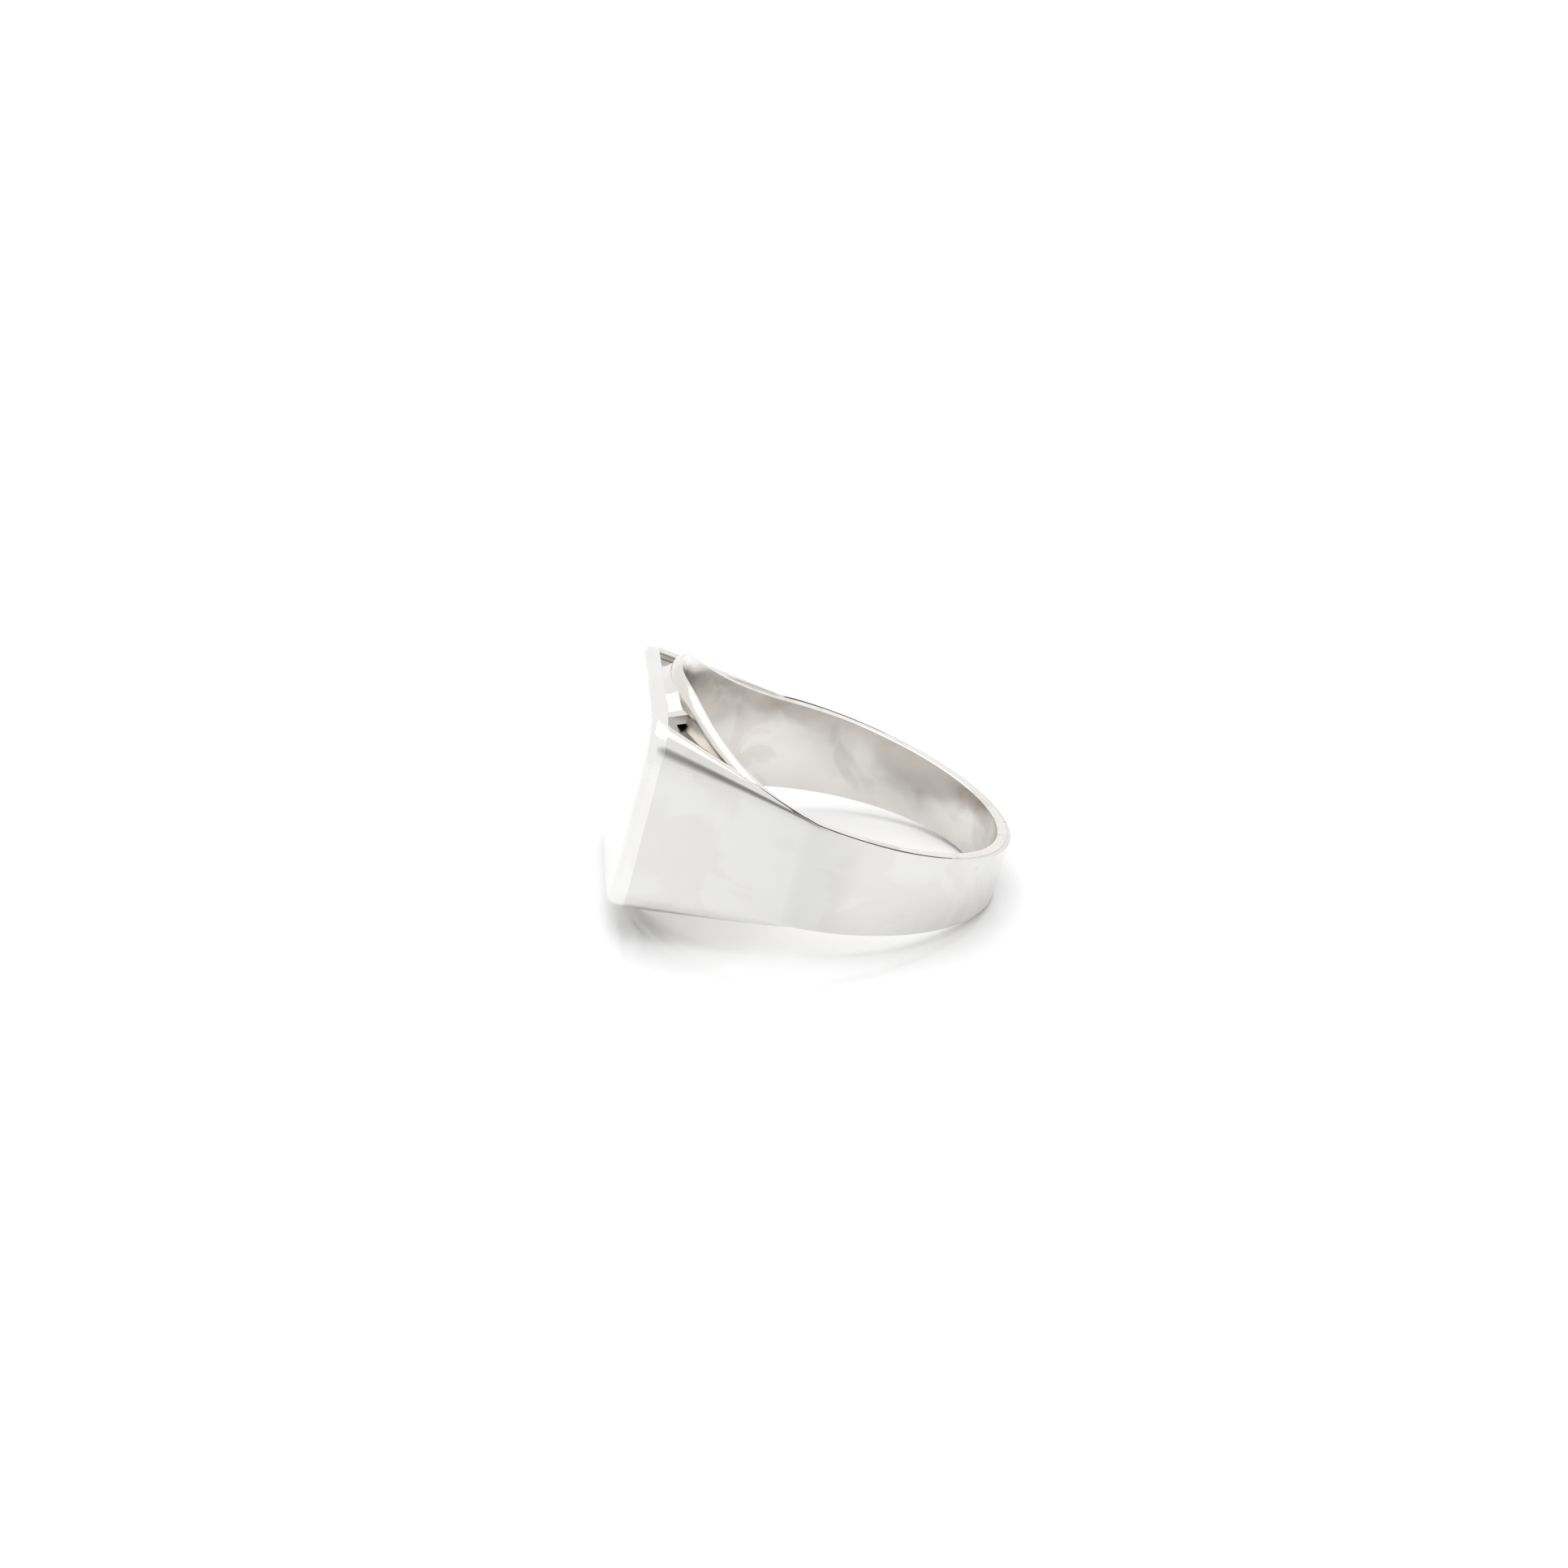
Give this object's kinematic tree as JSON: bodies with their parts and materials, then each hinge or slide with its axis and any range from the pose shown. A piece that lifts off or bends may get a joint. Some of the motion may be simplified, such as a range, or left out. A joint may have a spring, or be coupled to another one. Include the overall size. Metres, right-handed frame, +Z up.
{
  "type": "signet ring",
  "caption": "Polished silver signet ring lying on its side: flared finger band, two shoulder shells and a flat blank cushion-shaped face plate.",
  "frame": {"origin": "centre of the ring's box on the surface that it lies on", "axes": "+Z up from the surface, -X towards the signet face, +Y across the finger; the finger axis leans from +Z towards +X by the angle at which the ring rests"},
  "size_m": [0.0226, 0.0206, 0.0127],
  "materials": {
    "polished_silver": "mirror-polished sterling silver with fine wear scratches",
    "bore_silver": "softly polished silver with a warm tarnish haze",
    "pocket_silver": "less polished silver, darker in the pockets",
    "silver_solder": "polished silver solder, a little yellower than the sheet"
  },
  "bodies": {
    "root": {"finger_band": "bore_silver", "band_joint_solder": "silver_solder", "face_plate": "polished_silver", "shoulder_left": "polished_silver", "shoulder_right": "polished_silver", "back_joint_solder": "silver_solder", "gallery_plate_upper_left": "pocket_silver", "gallery_plate_upper_right": "pocket_silver", "gallery_plate_lower_left": "pocket_silver", "gallery_plate_lower_right": "pocket_silver", "face_solder_upper": "silver_solder", "face_solder_lower": "silver_solder"}
  },
  "joints": []
}
